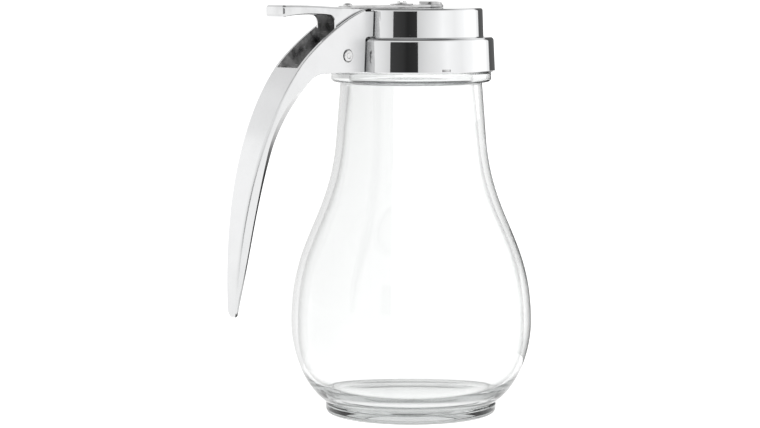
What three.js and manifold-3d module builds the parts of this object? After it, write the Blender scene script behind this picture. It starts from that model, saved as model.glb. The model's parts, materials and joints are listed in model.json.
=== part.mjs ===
// A table syrup dispenser: a teardrop glass jar on a round foot, closed by a stepped chrome cap. The cap carries a
// curved handle with two cheeks. A thumb lever between the cheeks pulls a shutter back off the pour hole in the top.
// Millimetres, +Z up. The origin is the middle of the foot that the jar stands on, the handle points along -X and
// the pour hole lies on the +X side.
import * as THREE from "three";
import { mergeVertices } from "three/addons/utils/BufferGeometryUtils.js";
import Module from "manifold-3d";

const wasm = await Module();
wasm.setup();

// Clearances: at a seam or a running face, and under a head that rests on its neighbour
const SEAM = 0.3;
const REST_GAP = 0.1;

// Jar: foot, waist, bowl, belly, shoulder, neck, bead and the plain ring that the cap closes on
const FOOT_FLAT_R = 29.8;
const FOOT_R = 31.8;
const FOOT_ROUND = 1.6;
const FOOT_H = 3.0;
const WAIST_R = 31.2;
const WAIST_Z = 4.0;
const BOWL_RUN = 10.4;
const BOWL_RISE = 6.6;
const BOWL_TURN = 8;
const BELLY_R = 44.75;
const BELLY_Z = 34;
const SHOULDER_PULL = 32;
const SHOULDER_LEAN = 1.9;
const NECK_LOW_R = 27.65;
const NECK_LOW_Z = 104;
const NECK_R = 26.35;
const NECK_Z = 121.6;
const BEAD_R = 29.6;
const BEAD_Z = 124.8;
const BEAD_H = 3.2;
const RING_R = 26.2;
const RIM_Z = 137.6;
const RIM_LIP = 0.8;
const MOUTH_R = 23;
const GLASS_WALL = 2.6;
const FLOOR_Z = 8;
const FLOOR_R = 27;
const BOWL_INSIDE_R = 37.5;
const BOWL_INSIDE_TURN = 14;

// Cap: a wide band round the mouth, a narrower collar above it and a flat top, all with a little draft
const BAND_R = 31.0;
const BAND_TOP_R = 30.4;
const BAND_Z = 127.1;
const BAND_ROUND = 0.6;
const STEP_Z = 139.4;
const COLLAR_R = 26.7;
const COLLAR_TOP_R = 26.3;
const TOP_Z = 150.2;
const TOP_ROUND = 1.2;
const CAP_WALL = 1.8;
const NOTCH = { angle: -111.4, wide: 3.4, high: 0.9, deep: 0.6, low: 0.7 };
const POUR = { x: 11.35, half: 2.85, round: 0.3 };

// Handle, from the side: X and Z of the outer edge's tip, knee and top, and of the grip's inner edge
const ARC_TIP = [-89.5, 46];
const ARC_KNEE = [-62, 130.6];
const ARC_TOP = [-27, 150.2];
const GRIP_TOP = [-61, 122];
const GRIP_TIP = [-87.65, 44.6];
const TIP_Z = 43.2;
const KNEE_SLOPE = 46.5;
const TIP_SLOPE = 77.8;
const OUTER_PULL = { tip: 20, kneeLow: 35, kneeHigh: 10, top: 8 };
const INNER_PULL = { top: 22.8, tip: 44.3 };
const HANDLE_START_X = -20;
const CHEEK_Z = 127.6;
const CHEEK_END_X = -51;
const CHEEK_WALL = 1.3;
const POCKET_Z = 130;
// Handle, in section: half widths, and the radius of the inner edges at the cheeks and along the grip
const HANDLE_HALF = 6.6;
const TAPER_Z = 111.3;
const TAPER_SOFT = 10;
const TIP_HALF = 2.65;
const TIP_TAPER_Z = 48;
const CHEEK_ROUND = 0.4;
const GRIP_ROUND = 2.6;
// The most that a round edge takes of a section's depth or half width
const MOST_ROUND = 0.45;
const PIN = { x: -39, z: 133.8, r: 1.5, headR: 2.1, headH: 0.5 };

// Slide: the thumb lever, the shutter and the rivet that joins them
const TRAVEL = 6.5;
const LEVER_HALF = 5;
const LEVER_END_X = -68.6;
const LEVER_BACK_X = -43.5;
const LEVER_SEAT_X = -35.4;
const LEVER_FRONT_X = -27.6;
const LEVER_TOP_Z = 152.1;
const LEVER_NECK_Z = 151;
const LEVER_SEAT_Z = 150.4;
const LEVER_FOOT_Z = 140.2;
const LEVER_ROUND = 1;
const LEVER_PULL = 8;
const LEVER_WALL = 1.2;
const LEVER_ROOF = 3;
const HOLLOW_ROUND = 1.5;
const THUMB_END_H = 3.6;
const THUMB_MID_H = 2.6;
const THUMB_ROOT_H = 4;
const PLATE_Z = 150.5;
const PLATE_H = 1;
const PLATE_HALF = 3.4;
const PLATE_ROUND = 1.5;
const PLATE_TAIL_X = -35;
const PAD = { x: 10.2, r: 4.8, headR: 4.2, headTop: 152.65, flat: 1, slope: 2 };
const GUIDE = { x: -5.1, shankR: 1.3, flangeR: 4.3, flangeH: 0.4, headR: 1.8, headH: 0.8, lip: 0.3 };
const RIVET = { x: -32.8, shankR: 1, headR: 1.7, headH: 0.9 };
const DOME_PULL = 0.8;

// Facets: sides of a large turned piece and of a small one, and steps along a curve and round an edge
const SIDES = 56;
const SMALL_SIDES = 24;
const CURVE_STEPS = 9;
const ROUND_STEPS = 3;

const point = (x, y) => new THREE.Vector2(x, y);

// The point at a distance from another, in a direction given in degrees
function along([x, y], degrees, distance) {
  const angle = THREE.MathUtils.degToRad(degrees);
  return [x + distance * Math.cos(angle), y + distance * Math.sin(angle)];
}

// Points along a curve after its first, for a profile that is written as one list
function bend(from, pull, to) {
  return new THREE.QuadraticBezierCurve(from, pull, to).getPoints(ROUND_STEPS).slice(1);
}

function sweep(from, pullA, pullB, to) {
  return new THREE.CubicBezierCurve(from, pullA, pullB, to).getPoints(CURVE_STEPS).slice(1);
}

// A profile of radius and height turned round +Z
function turned(profile, sides = SIDES) {
  return new THREE.LatheGeometry(profile, sides).rotateX(Math.PI / 2);
}

// A round bar along +Z or, with across set, along Y
function bar(r, length, x, z, across = false) {
  const geometry = new THREE.CylinderGeometry(r, r, length, SMALL_SIDES);
  if (!across) geometry.rotateX(Math.PI / 2);
  return geometry.translate(x, 0, z);
}

function drawnOut(shape, depth, steps) {
  return new THREE.ExtrudeGeometry(shape, { depth, bevelEnabled: false, curveSegments: steps });
}

// A shape in X and Z, drawn out evenly to both sides along Y
function drawnAlongY(shape, half) {
  return drawnOut(shape, 2 * half, CURVE_STEPS).rotateX(Math.PI / 2).translate(0, half, 0);
}

// A shape in Y and Z, drawn out along +X from a start to an end
function drawnAlongX(shape, start, end, steps) {
  const axes = [new THREE.Vector3(0, 1, 0), new THREE.Vector3(0, 0, 1), new THREE.Vector3(1, 0, 0)];
  const turn = new THREE.Matrix4().makeBasis(...axes);
  return drawnOut(shape, end - start, steps).applyMatrix4(turn).translate(start, 0, 0);
}

// A shape in X and Y, drawn out upwards
function drawnUp(shape, bottom, top) {
  return drawnOut(shape, top - bottom, CURVE_STEPS).translate(0, 0, bottom);
}

function solid(geometry) {
  const bare = geometry.clone().deleteAttribute("normal").deleteAttribute("uv");
  const merged = mergeVertices(bare, 1e-4);
  const vertProperties = new Float32Array(merged.attributes.position.array);
  const triVerts = new Uint32Array(merged.index.array);
  return new wasm.Manifold(new wasm.Mesh({ numProp: 3, vertProperties, triVerts }));
}

function surface(body) {
  const mesh = body.getMesh();
  const geometry = new THREE.BufferGeometry();
  geometry.setAttribute("position", new THREE.BufferAttribute(mesh.vertProperties, 3));
  geometry.setIndex(new THREE.BufferAttribute(mesh.triVerts, 1));
  return geometry;
}

const cut = (body, ...tools) => tools.reduce((left, tool) => left.subtract(solid(tool)), body);

// An outline in X and Y of a hole with four round corners
function slotted(outline, x, halfX, halfY, r) {
  const runX = halfX - r;
  const runY = halfY - r;
  const corners = [
    [1, 1],
    [-1, 1],
    [-1, -1],
    [1, -1],
  ];
  corners.forEach(([signX, signY], quarter) => {
    const start = (quarter * Math.PI) / 2;
    outline.absarc(x + signX * runX, signY * runY, r, start, start + Math.PI / 2);
  });
  outline.closePath();
  return outline;
}

// The profile of a low domed head, from its rim at the seat up to the axis
function dome(r, seat, height) {
  const rim = point(r, seat);
  return [rim, ...bend(rim, point(r * DOME_PULL, seat + height), point(0, seat + height))];
}

function jar() {
  const waist = point(WAIST_R, WAIST_Z);
  const belly = point(BELLY_R, BELLY_Z);
  const neckLow = point(NECK_LOW_R, NECK_LOW_Z);
  const beadLow = BEAD_Z - BEAD_H / 2;
  const beadHigh = BEAD_Z + BEAD_H / 2;
  const outer = [
    point(0, 0),
    point(FOOT_FLAT_R, 0),
    ...bend(point(FOOT_FLAT_R, 0), point(FOOT_R, 0), point(FOOT_R, FOOT_ROUND)),
    point(FOOT_R, FOOT_H),
    waist,
    ...sweep(
      waist,
      point(WAIST_R + BOWL_RUN, WAIST_Z + BOWL_RISE),
      point(BELLY_R, BELLY_Z - BOWL_TURN),
      belly,
    ),
    ...sweep(
      belly,
      point(BELLY_R, BELLY_Z + SHOULDER_PULL),
      point(NECK_LOW_R + SHOULDER_LEAN, NECK_LOW_Z - SHOULDER_PULL),
      neckLow,
    ),
    point(NECK_R, NECK_Z),
    ...bend(point(NECK_R, beadLow), point(BEAD_R, beadLow), point(BEAD_R, BEAD_Z)),
    ...bend(point(BEAD_R, BEAD_Z), point(BEAD_R, beadHigh), point(RING_R, beadHigh)),
    point(RING_R, RIM_Z - RIM_LIP),
    point(RING_R - RIM_LIP, RIM_Z),
    point(MOUTH_R + RIM_LIP, RIM_Z),
  ];
  const neckInside = NECK_LOW_R - GLASS_WALL;
  const bellyInside = point(BELLY_R - GLASS_WALL, BELLY_Z);
  const inner = [
    point(MOUTH_R, RIM_Z - RIM_LIP),
    point(MOUTH_R, BEAD_Z),
    point(neckInside, NECK_LOW_Z),
    ...sweep(
      point(neckInside, NECK_LOW_Z),
      point(neckInside + SHOULDER_LEAN, NECK_LOW_Z - SHOULDER_PULL),
      point(bellyInside.x, BELLY_Z + SHOULDER_PULL),
      bellyInside,
    ),
    ...sweep(
      bellyInside,
      point(bellyInside.x, BELLY_Z - BOWL_INSIDE_TURN),
      point(BOWL_INSIDE_R, FLOOR_Z),
      point(FLOOR_R, FLOOR_Z),
    ),
    point(0, FLOOR_Z),
  ];
  return turned([...outer, ...inner]);
}

// The cap's outer skin from the band's foot up to the axis, grown by a clearance where a neighbour is cut to it
function capSkin(grow = 0) {
  const bandTop = point(BAND_TOP_R + grow, STEP_Z - BAND_ROUND + grow);
  const stepEdge = point(BAND_TOP_R - BAND_ROUND + grow, STEP_Z + grow);
  const collarTop = point(COLLAR_TOP_R + grow, TOP_Z - TOP_ROUND + grow);
  const topEdge = point(COLLAR_TOP_R - TOP_ROUND + grow, TOP_Z + grow);
  return [
    point(BAND_R + grow, BAND_Z + BAND_ROUND),
    bandTop,
    ...bend(bandTop, point(bandTop.x, stepEdge.y), stepEdge),
    point(COLLAR_R + grow, STEP_Z + grow),
    collarTop,
    ...bend(collarTop, point(collarTop.x, topEdge.y), topEdge),
    point(0, TOP_Z + grow),
  ];
}

function cap() {
  const collarInside = COLLAR_TOP_R - CAP_WALL;
  const bandInside = BAND_TOP_R - CAP_WALL;
  const underTop = TOP_Z - CAP_WALL;
  const ledge = RIM_Z + SEAM;
  const body = solid(
    turned([
      point(0, underTop),
      point(collarInside, underTop),
      point(collarInside, ledge),
      point(bandInside, ledge),
      point(bandInside, BAND_Z),
      point(BAND_R - BAND_ROUND, BAND_Z),
      ...capSkin(),
    ]),
  );
  const pourOutline = slotted(new THREE.Shape(), POUR.x, POUR.half, POUR.half, POUR.round);
  const pourHole = drawnUp(pourOutline, underTop - CAP_WALL, TOP_Z + CAP_WALL);
  const screwHole = bar(GUIDE.shankR + SEAM, 4 * CAP_WALL, GUIDE.x, TOP_Z);
  const notch = new THREE.BoxGeometry(2 * NOTCH.deep, NOTCH.wide, NOTCH.high)
    .translate(BAND_R, 0, BAND_Z + NOTCH.low + NOTCH.high / 2)
    .rotateZ(THREE.MathUtils.degToRad(NOTCH.angle));
  return surface(cut(body, pourHole, screwHole, notch));
}

// Half the handle's width at a height: full down to the taper, then narrowing to a round tip
function handleHalf(z) {
  const slope = (HANDLE_HALF - TIP_HALF) / (TAPER_Z - TIP_TAPER_Z);
  const drop = TAPER_Z + TAPER_SOFT - z;
  if (drop <= 0) return HANDLE_HALF;
  if (drop <= 2 * TAPER_SOFT) return HANDLE_HALF - (slope * drop ** 2) / (4 * TAPER_SOFT);
  if (z >= TIP_TAPER_Z) return TIP_HALF + slope * (z - TIP_TAPER_Z);
  return TIP_HALF * Math.sqrt(1 - ((TIP_TAPER_Z - z) / (TIP_TAPER_Z - TIP_Z)) ** 2);
}

// The handle from the side, from inside the cap to the tip: pairs of points on its outer and its inner edge, each
// with the radius of the inner edges there
function handlePairs() {
  const top = point(...ARC_TOP);
  const knee = point(...ARC_KNEE);
  const tip = point(...ARC_TIP);
  const gripTop = point(...GRIP_TOP);
  const gripTip = point(...GRIP_TIP);
  const kneePull = (reach) => point(...along(ARC_KNEE, KNEE_SLOPE, reach));
  const arc = sweep(top, point(top.x - OUTER_PULL.top, top.y), kneePull(OUTER_PULL.kneeHigh), knee);
  const outer = sweep(knee, kneePull(-OUTER_PULL.kneeLow), point(tip.x, tip.y + OUTER_PULL.tip), tip);

  const cheekStart = point(top.x, CHEEK_Z);
  const cheekEnd = point(CHEEK_END_X, CHEEK_Z);
  const filletX = gripTop.x + (CHEEK_Z - gripTop.y) / Math.tan(THREE.MathUtils.degToRad(KNEE_SLOPE));
  const flat = new THREE.LineCurve(cheekStart, cheekEnd).getPoints(CURVE_STEPS - ROUND_STEPS).slice(1);
  const under = [...flat, ...bend(cheekEnd, point(filletX, CHEEK_Z), gripTop)];
  const inner = sweep(
    gripTop,
    point(...along(GRIP_TOP, KNEE_SLOPE, -INNER_PULL.top)),
    point(...along(GRIP_TIP, TIP_SLOPE, INNER_PULL.tip)),
    gripTip,
  );
  const nose = sweep(gripTip, point(gripTip.x, TIP_Z), point(tip.x, TIP_Z), tip);

  const pairs = [
    [point(HANDLE_START_X, top.y), point(HANDLE_START_X, CHEEK_Z), CHEEK_ROUND],
    [top, cheekStart, CHEEK_ROUND],
  ];
  arc.forEach((spot, step) => pairs.push([spot, under[step], CHEEK_ROUND]));
  outer.forEach((spot, step) => {
    const share = Math.min(1, (ROUND_STEPS * (step + 1)) / CURVE_STEPS);
    pairs.push([spot, inner[step], THREE.MathUtils.lerp(CHEEK_ROUND, GRIP_ROUND, share)]);
  });
  for (let step = 0; step < (CURVE_STEPS - 1) / 2; step += 1) {
    pairs.push([nose[CURVE_STEPS - 2 - step], nose[step], GRIP_ROUND]);
  }
  return pairs;
}

// One section of the handle: flat outside, with its two inner edges rounded
function handleRing([outer, inner, round]) {
  const depth = outer.distanceTo(inner);
  const outerHalf = handleHalf(outer.y);
  const innerHalf = handleHalf(inner.y);
  const r = Math.min(round, MOST_ROUND * depth, MOST_ROUND * innerHalf);
  const side = [[0, outerHalf]];
  for (let step = 0; step <= ROUND_STEPS; step += 1) {
    const angle = (step / ROUND_STEPS) * (Math.PI / 2);
    side.push([depth - r + r * Math.sin(angle), innerHalf - r + r * Math.cos(angle)]);
  }
  const mirrored = side.map(([reach, y]) => [reach, -y]).reverse();
  return [...side, ...mirrored].map(([reach, y]) => {
    const spot = outer.clone().lerp(inner, reach / depth);
    return new THREE.Vector3(spot.x, y, spot.y);
  });
}

// A closed body through rings of points, each ring with the same number of them
function lofted(rings) {
  const count = rings[0].length;
  const last = (rings.length - 1) * count;
  const index = [];
  for (let low = 0; low < last; low += count) {
    for (let i = 0; i < count; i += 1) {
      const next = (i + 1) % count;
      index.push(low + i, low + next, low + count + i);
      index.push(low + next, low + count + next, low + count + i);
    }
  }
  for (let i = 1; i < count - 1; i += 1) {
    index.push(0, i + 1, i);
    index.push(last, last + i, last + i + 1);
  }
  return new THREE.BufferGeometry().setFromPoints(rings.flat()).setIndex(index);
}

function handle() {
  const reach = -ARC_TIP[0];
  const blank = solid(lofted(handlePairs().map(handleRing)));
  const pocketHalf = HANDLE_HALF - CHEEK_WALL;
  const pocket = new THREE.BoxGeometry(2 * reach, 2 * pocketHalf, 2 * (TOP_Z - POCKET_Z)).translate(0, 0, TOP_Z);
  const roomFoot = BAND_Z - BAND_ROUND;
  const room = turned([point(0, roomFoot), point(BAND_R + SEAM, roomFoot), ...capSkin(SEAM)]);
  const pinHole = bar(PIN.r + SEAM, 4 * HANDLE_HALF, PIN.x, PIN.z, true);
  return surface(cut(blank, pocket, room, pinHole));
}

// A pin across both cheeks with a low domed head on each side, turned round its own axis
function crossPin() {
  const seat = HANDLE_HALF + REST_GAP;
  const half = [point(PIN.r, seat), ...dome(PIN.headR, seat, PIN.headH)];
  const mirrored = half.map(({ x, y }) => point(x, -y)).reverse();
  return turned([...mirrored, ...half], SMALL_SIDES);
}

// The fixed screw that the shutter slides along: a shank in the cap, a flange over the shutter and a slotted head
function guideScrew() {
  const low = TOP_Z - CAP_WALL + REST_GAP;
  const under = PLATE_Z + PLATE_H + REST_GAP;
  const flangeTop = under + GUIDE.flangeH;
  const headTop = flangeTop + GUIDE.headH;
  const profile = [
    point(0, low),
    point(GUIDE.shankR, low),
    point(GUIDE.shankR, under),
    point(GUIDE.flangeR, under),
    point(GUIDE.flangeR - GUIDE.lip, flangeTop),
    point(GUIDE.headR, flangeTop),
    point(GUIDE.headR, headTop - GUIDE.lip),
    point(GUIDE.headR - GUIDE.lip, headTop),
    point(0, headTop),
  ];
  const slot = new THREE.BoxGeometry(4 * GUIDE.headR, GUIDE.headR / 2, GUIDE.headH)
    .translate(0, 0, headTop)
    .rotateZ(Math.PI / 4);
  return surface(cut(solid(turned(profile, SMALL_SIDES)), slot));
}

// The lever from the side: a thumb rest that rises a little to its end, and a body that drops between the cheeks
function leverSide() {
  const endLow = LEVER_TOP_Z - THUMB_END_H;
  const midLow = LEVER_TOP_Z - THUMB_MID_H;
  const rootLow = LEVER_TOP_Z - THUMB_ROOT_H;
  const round = LEVER_ROUND;
  const shape = new THREE.Shape();
  shape.moveTo(LEVER_FRONT_X, LEVER_FOOT_Z);
  shape.lineTo(LEVER_FRONT_X, LEVER_SEAT_Z);
  shape.lineTo(LEVER_SEAT_X, LEVER_SEAT_Z);
  shape.lineTo(LEVER_SEAT_X, LEVER_NECK_Z);
  shape.bezierCurveTo(
    LEVER_SEAT_X - LEVER_PULL,
    LEVER_NECK_Z,
    LEVER_BACK_X - LEVER_PULL,
    LEVER_TOP_Z,
    LEVER_END_X + round,
    LEVER_TOP_Z,
  );
  shape.quadraticCurveTo(LEVER_END_X, LEVER_TOP_Z, LEVER_END_X, LEVER_TOP_Z - round);
  shape.lineTo(LEVER_END_X, endLow + round);
  shape.quadraticCurveTo(LEVER_END_X, endLow, LEVER_END_X + round, endLow);
  shape.bezierCurveTo(
    LEVER_END_X + LEVER_PULL,
    midLow,
    LEVER_BACK_X - LEVER_PULL,
    midLow,
    LEVER_BACK_X - 2 * round,
    rootLow + round,
  );
  shape.quadraticCurveTo(LEVER_BACK_X, rootLow, LEVER_BACK_X, rootLow - 2 * round);
  shape.lineTo(LEVER_BACK_X, LEVER_FOOT_Z);
  shape.closePath();
  return shape;
}

// The lever's body is a channel, open below and behind, with round upper corners
function leverHollow() {
  const half = LEVER_HALF - LEVER_WALL;
  const roof = LEVER_SEAT_Z - LEVER_ROOF;
  const low = LEVER_FOOT_Z - LEVER_WALL;
  const round = HOLLOW_ROUND;
  const shape = new THREE.Shape();
  shape.moveTo(-half, low);
  shape.lineTo(half, low);
  shape.lineTo(half, roof - round);
  shape.quadraticCurveTo(half, roof, half - round, roof);
  shape.lineTo(-half + round, roof);
  shape.quadraticCurveTo(-half, roof, -half, roof - round);
  shape.closePath();
  return drawnAlongX(shape, LEVER_BACK_X - LEVER_HALF, LEVER_FRONT_X - LEVER_WALL, ROUND_STEPS);
}

const rivetHole = () => bar(RIVET.shankR + SEAM, 4 * LEVER_ROOF, RIVET.x, LEVER_SEAT_Z);

function thumbLever() {
  return surface(cut(solid(drawnAlongY(leverSide(), LEVER_HALF)), leverHollow(), rivetHole()));
}

// The shutter's plate in plan: a strip with round tail corners, a round pad over the pour hole and the guide slot
function plateOutline() {
  const round = PLATE_ROUND;
  const tail = PLATE_TAIL_X;
  const padTurn = Math.PI - Math.asin(PLATE_HALF / PAD.r);
  const outline = new THREE.Shape();
  outline.moveTo(tail + round, -PLATE_HALF);
  outline.absarc(PAD.x, 0, PAD.r, -padTurn, padTurn);
  outline.lineTo(tail + round, PLATE_HALF);
  outline.quadraticCurveTo(tail, PLATE_HALF, tail, PLATE_HALF - round);
  outline.lineTo(tail, -PLATE_HALF + round);
  outline.quadraticCurveTo(tail, -PLATE_HALF, tail + round, -PLATE_HALF);
  const slotR = GUIDE.shankR + SEAM;
  const run = TRAVEL / 2;
  outline.holes.push(slotted(new THREE.Path(), GUIDE.x + run, run + slotR, slotR, slotR));
  return outline;
}

// The head on the pad: round in plan, steep behind, flat on top and falling away to the front
function padHead() {
  const back = PAD.x - PAD.headR;
  const front = PAD.x + PAD.headR;
  const low = PLATE_Z + PLATE_H / 2;
  const wedge = new THREE.Shape();
  wedge.moveTo(back, low);
  wedge.lineTo(front, low);
  wedge.lineTo(front, PLATE_Z + PLATE_H);
  wedge.quadraticCurveTo(PAD.x + PAD.slope, PAD.headTop, PAD.x - PAD.flat, PAD.headTop);
  wedge.lineTo(back + PAD.flat, PAD.headTop);
  wedge.lineTo(back, PLATE_Z + PLATE_H);
  wedge.closePath();
  const post = bar(PAD.headR, 2 * (PAD.headTop - low), PAD.x, PAD.headTop);
  return solid(post).intersect(solid(drawnAlongY(wedge, PAD.r)));
}

function shutter() {
  const plate = solid(drawnUp(plateOutline(), PLATE_Z, PLATE_Z + PLATE_H));
  return surface(cut(plate.add(padHead()), rivetHole()));
}

// The rivet that holds the shutter down on the lever
function leverRivet() {
  const seat = PLATE_Z + PLATE_H + REST_GAP;
  const low = LEVER_SEAT_Z - LEVER_ROOF + REST_GAP;
  const shank = [point(0, low), point(RIVET.shankR, low), point(RIVET.shankR, seat)];
  return turned([...shank, ...dome(RIVET.headR, seat, RIVET.headH)], SMALL_SIDES);
}

// Finishes
const chrome = (color) => new THREE.MeshStandardMaterial({ color, metalness: 1, roughness: 0.12 });
const glass = () =>
  new THREE.MeshStandardMaterial({ color: 0xf4f7f6, roughness: 0.04, transparent: true, opacity: 0.35 });

function piece(name, geometry, material) {
  const mesh = new THREE.Mesh(geometry, material);
  mesh.name = name;
  return mesh;
}

const pin = piece("cross_pin", crossPin(), chrome(0xc9ccce));
pin.rotation.x = Math.PI / 2;
pin.position.set(PIN.x, 0, PIN.z);
const screw = piece("guide_screw", guideScrew(), chrome(0xc4c7c9));
screw.position.x = GUIDE.x;
const rivet = piece("lever_rivet", leverRivet(), chrome(0xc9ccce));
rivet.position.x = RIVET.x;

const top = new THREE.Group();
top.add(piece("cap", cap(), chrome(0xdde0e2)), piece("handle", handle(), chrome(0xdadddf)), pin, screw);

const slide = new THREE.Group();
slide.add(piece("thumb_lever", thumbLever(), chrome(0xd6d9db)));
slide.add(piece("shutter", shutter(), chrome(0xd2d5d7)), rivet);

const dispenser = new THREE.Group();
dispenser.add(piece("jar", jar(), glass()), top, slide);

export default dispenser;
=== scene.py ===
"""The look of a table syrup dispenser: clear pressed glass, bright chrome and a sliding shutter.

Metres, +Z up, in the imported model's own frame. The jar stands on its foot at the origin, the handle points
along -X and the pour hole lies on the +X side. Sizes of the dispenser's pieces are in millimetres, and those
of the studio in metres.
"""

import json
import math

import bmesh
import bpy
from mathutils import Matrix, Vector
from mathutils.geometry import interpolate_bezier


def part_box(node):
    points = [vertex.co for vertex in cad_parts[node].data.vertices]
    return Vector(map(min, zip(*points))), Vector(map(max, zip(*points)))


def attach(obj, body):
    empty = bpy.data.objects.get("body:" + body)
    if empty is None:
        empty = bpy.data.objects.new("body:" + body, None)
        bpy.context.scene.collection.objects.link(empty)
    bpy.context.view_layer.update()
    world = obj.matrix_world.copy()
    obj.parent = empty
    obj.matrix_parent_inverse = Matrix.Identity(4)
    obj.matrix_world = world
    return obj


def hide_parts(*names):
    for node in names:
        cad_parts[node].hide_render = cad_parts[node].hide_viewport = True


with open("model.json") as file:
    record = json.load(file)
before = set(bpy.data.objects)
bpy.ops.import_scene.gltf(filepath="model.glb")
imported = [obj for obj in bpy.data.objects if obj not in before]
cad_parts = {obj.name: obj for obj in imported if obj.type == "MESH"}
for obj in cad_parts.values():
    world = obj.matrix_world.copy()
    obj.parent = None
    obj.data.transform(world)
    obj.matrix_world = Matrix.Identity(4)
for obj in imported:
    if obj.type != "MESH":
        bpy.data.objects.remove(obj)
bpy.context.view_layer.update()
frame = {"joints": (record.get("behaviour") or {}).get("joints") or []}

MM = 0.001
# Clearance round what passes through a hole, and how far a tool reaches past what it cuts
SEAM = 0.3
TOOL_REACH = 2

# Steps along a long curve, round a corner and round a turned piece
CURVE_STEPS = 32
ROUND_STEPS = 6
JAR_SIDES = 192
CAP_SIDES = 192
SMALL_SIDES = 64
# An edge that turns by more than this stays sharp, in degrees
SHARP_ANGLE = 38


def box_mm(node):
    """A CAD node's lowest and highest corners, in millimetres."""
    low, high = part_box(node)
    return low / MM, high / MM


JAR_HIGH = box_mm("jar")[1]
CAP_LOW, CAP_HIGH = box_mm("cap")
HANDLE_LOW, HANDLE_HIGH = box_mm("handle")
LEVER_LOW, LEVER_HIGH = box_mm("thumb_lever")
SHUTTER_LOW, SHUTTER_HIGH = box_mm("shutter")
PIN_LOW, PIN_HIGH = box_mm("cross_pin")
SCREW_LOW, SCREW_HIGH = box_mm("guide_screw")
RIVET_LOW, RIVET_HIGH = box_mm("lever_rivet")
TRAVEL = frame["joints"][0]["range_m"][1] / MM


# Outlines

# The signs of a rectangle's four corners, in turn
CORNERS = [(1, 1), (-1, 1), (-1, -1), (1, -1)]


def at(x, z):
    """A point of a side view or of a turned profile."""
    return Vector((x, 0, z)) * MM


def plan(x, y):
    """A point of a view from above."""
    return Vector((x, y, 0)) * MM


def along(start, degrees, reach):
    """The point at a reach from another, in a direction of the side view."""
    angle = math.radians(degrees)
    return start + at(math.cos(angle), math.sin(angle)) * reach


def curve(start, pull_a, pull_b, end, steps=CURVE_STEPS):
    """The points of a cubic curve, without its first."""
    return interpolate_bezier(start, pull_a, pull_b, end, steps + 1)[1:]


def eased(corners, closed=True):
    """An outline from corners, each a point and the radius that rounds it."""
    points = []
    for index, (spot, radius) in enumerate(corners):
        at_end = not closed and index in (0, len(corners) - 1)
        if at_end or radius == 0:
            points.append(spot)
            continue
        back = (corners[index - 1][0] - spot).normalized()
        ahead = (corners[(index + 1) % len(corners)][0] - spot).normalized()
        half = back.angle(ahead) / 2
        reach = radius * MM / math.tan(half)
        pull = reach - radius * MM * 4 / 3 * math.tan((math.pi / 2 - half) / 2)
        start = spot + back * reach
        end = spot + ahead * reach
        points.append(start)
        points += curve(start, spot + back * pull, spot + ahead * pull, end, ROUND_STEPS)
    return points


# Bodies


def new_piece(name, vertices, faces):
    """A piece from points and faces, with its faces turned outwards."""
    mesh = bpy.data.meshes.new(name)
    mesh.from_pydata([tuple(v) for v in vertices], [], faces)
    mesh.update()
    work = bmesh.new()
    work.from_mesh(mesh)
    bmesh.ops.recalc_face_normals(work, faces=work.faces)
    work.to_mesh(mesh)
    work.free()
    piece = bpy.data.objects.new(name, mesh)
    bpy.context.scene.collection.objects.link(piece)
    return piece


def lofted(name, rings):
    """A closed body through rings of points, each ring with the same number of them."""
    count = len(rings[0])
    vertices = [point for ring in rings for point in ring]
    first = list(range(count))
    last = [len(vertices) - count + i for i in first]
    faces = [first, last]
    for step in range(len(rings) - 1):
        low = step * count
        high = low + count
        for i in range(count):
            j = (i + 1) % count
            faces.append((low + i, low + j, high + j, high + i))
    return new_piece(name, vertices, faces)


def drawn(name, outline, start, end):
    """An outline drawn straight from one offset to another."""
    return lofted(name, [[point + start for point in outline], [point + end for point in outline]])


def drawn_across(name, outline, half):
    """A side view drawn out evenly along Y."""
    reach = Vector((0, half * MM, 0))
    return drawn(name, outline, -reach, reach)


def drawn_up(name, outline, low, high):
    """A plan drawn out upwards."""
    return drawn(name, outline, Vector((0, 0, low * MM)), Vector((0, 0, high * MM)))


def settle(piece):
    """Makes the result of a piece's modifiers its own plain mesh."""
    bpy.context.view_layer.update()
    shown = piece.evaluated_get(bpy.context.evaluated_depsgraph_get())
    mesh = bpy.data.meshes.new_from_object(shown)
    old = piece.data
    piece.modifiers.clear()
    piece.data = mesh
    mesh.name = piece.name
    bpy.data.meshes.remove(old)
    return piece


def joined(piece, operation, *tools):
    """Cuts a piece with tools, adds them to it or keeps what they share, and removes the tools."""
    for tool in tools:
        step = piece.modifiers.new("tool", "BOOLEAN")
        step.operation = operation
        step.solver = "EXACT"
        step.material_mode = "TRANSFER"
        step.object = tool
    settle(piece)
    for tool in tools:
        bpy.data.objects.remove(tool)
    return piece


def cut(piece, *tools):
    """Cuts tools out of a piece."""
    return joined(piece, "DIFFERENCE", *tools)


def rounded(piece, width, steps):
    """Rounds every edge of a piece that turns sharply."""
    bevel = piece.modifiers.new("edges", "BEVEL")
    bevel.width = width * MM
    bevel.segments = steps
    bevel.limit_method = "ANGLE"
    bevel.angle_limit = math.radians(SHARP_ANGLE)
    return settle(piece)


def polished(piece):
    """Smooth shading that keeps flats flat and sharp edges sharp."""
    mesh = piece.data
    mesh.shade_smooth()
    mesh.set_sharp_from_angle(angle=math.radians(SHARP_ANGLE))
    weighted = piece.modifiers.new("flats", "WEIGHTED_NORMAL")
    weighted.keep_sharp = True
    return settle(piece)


# Geometry nodes: a profile turned round +Z


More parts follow.
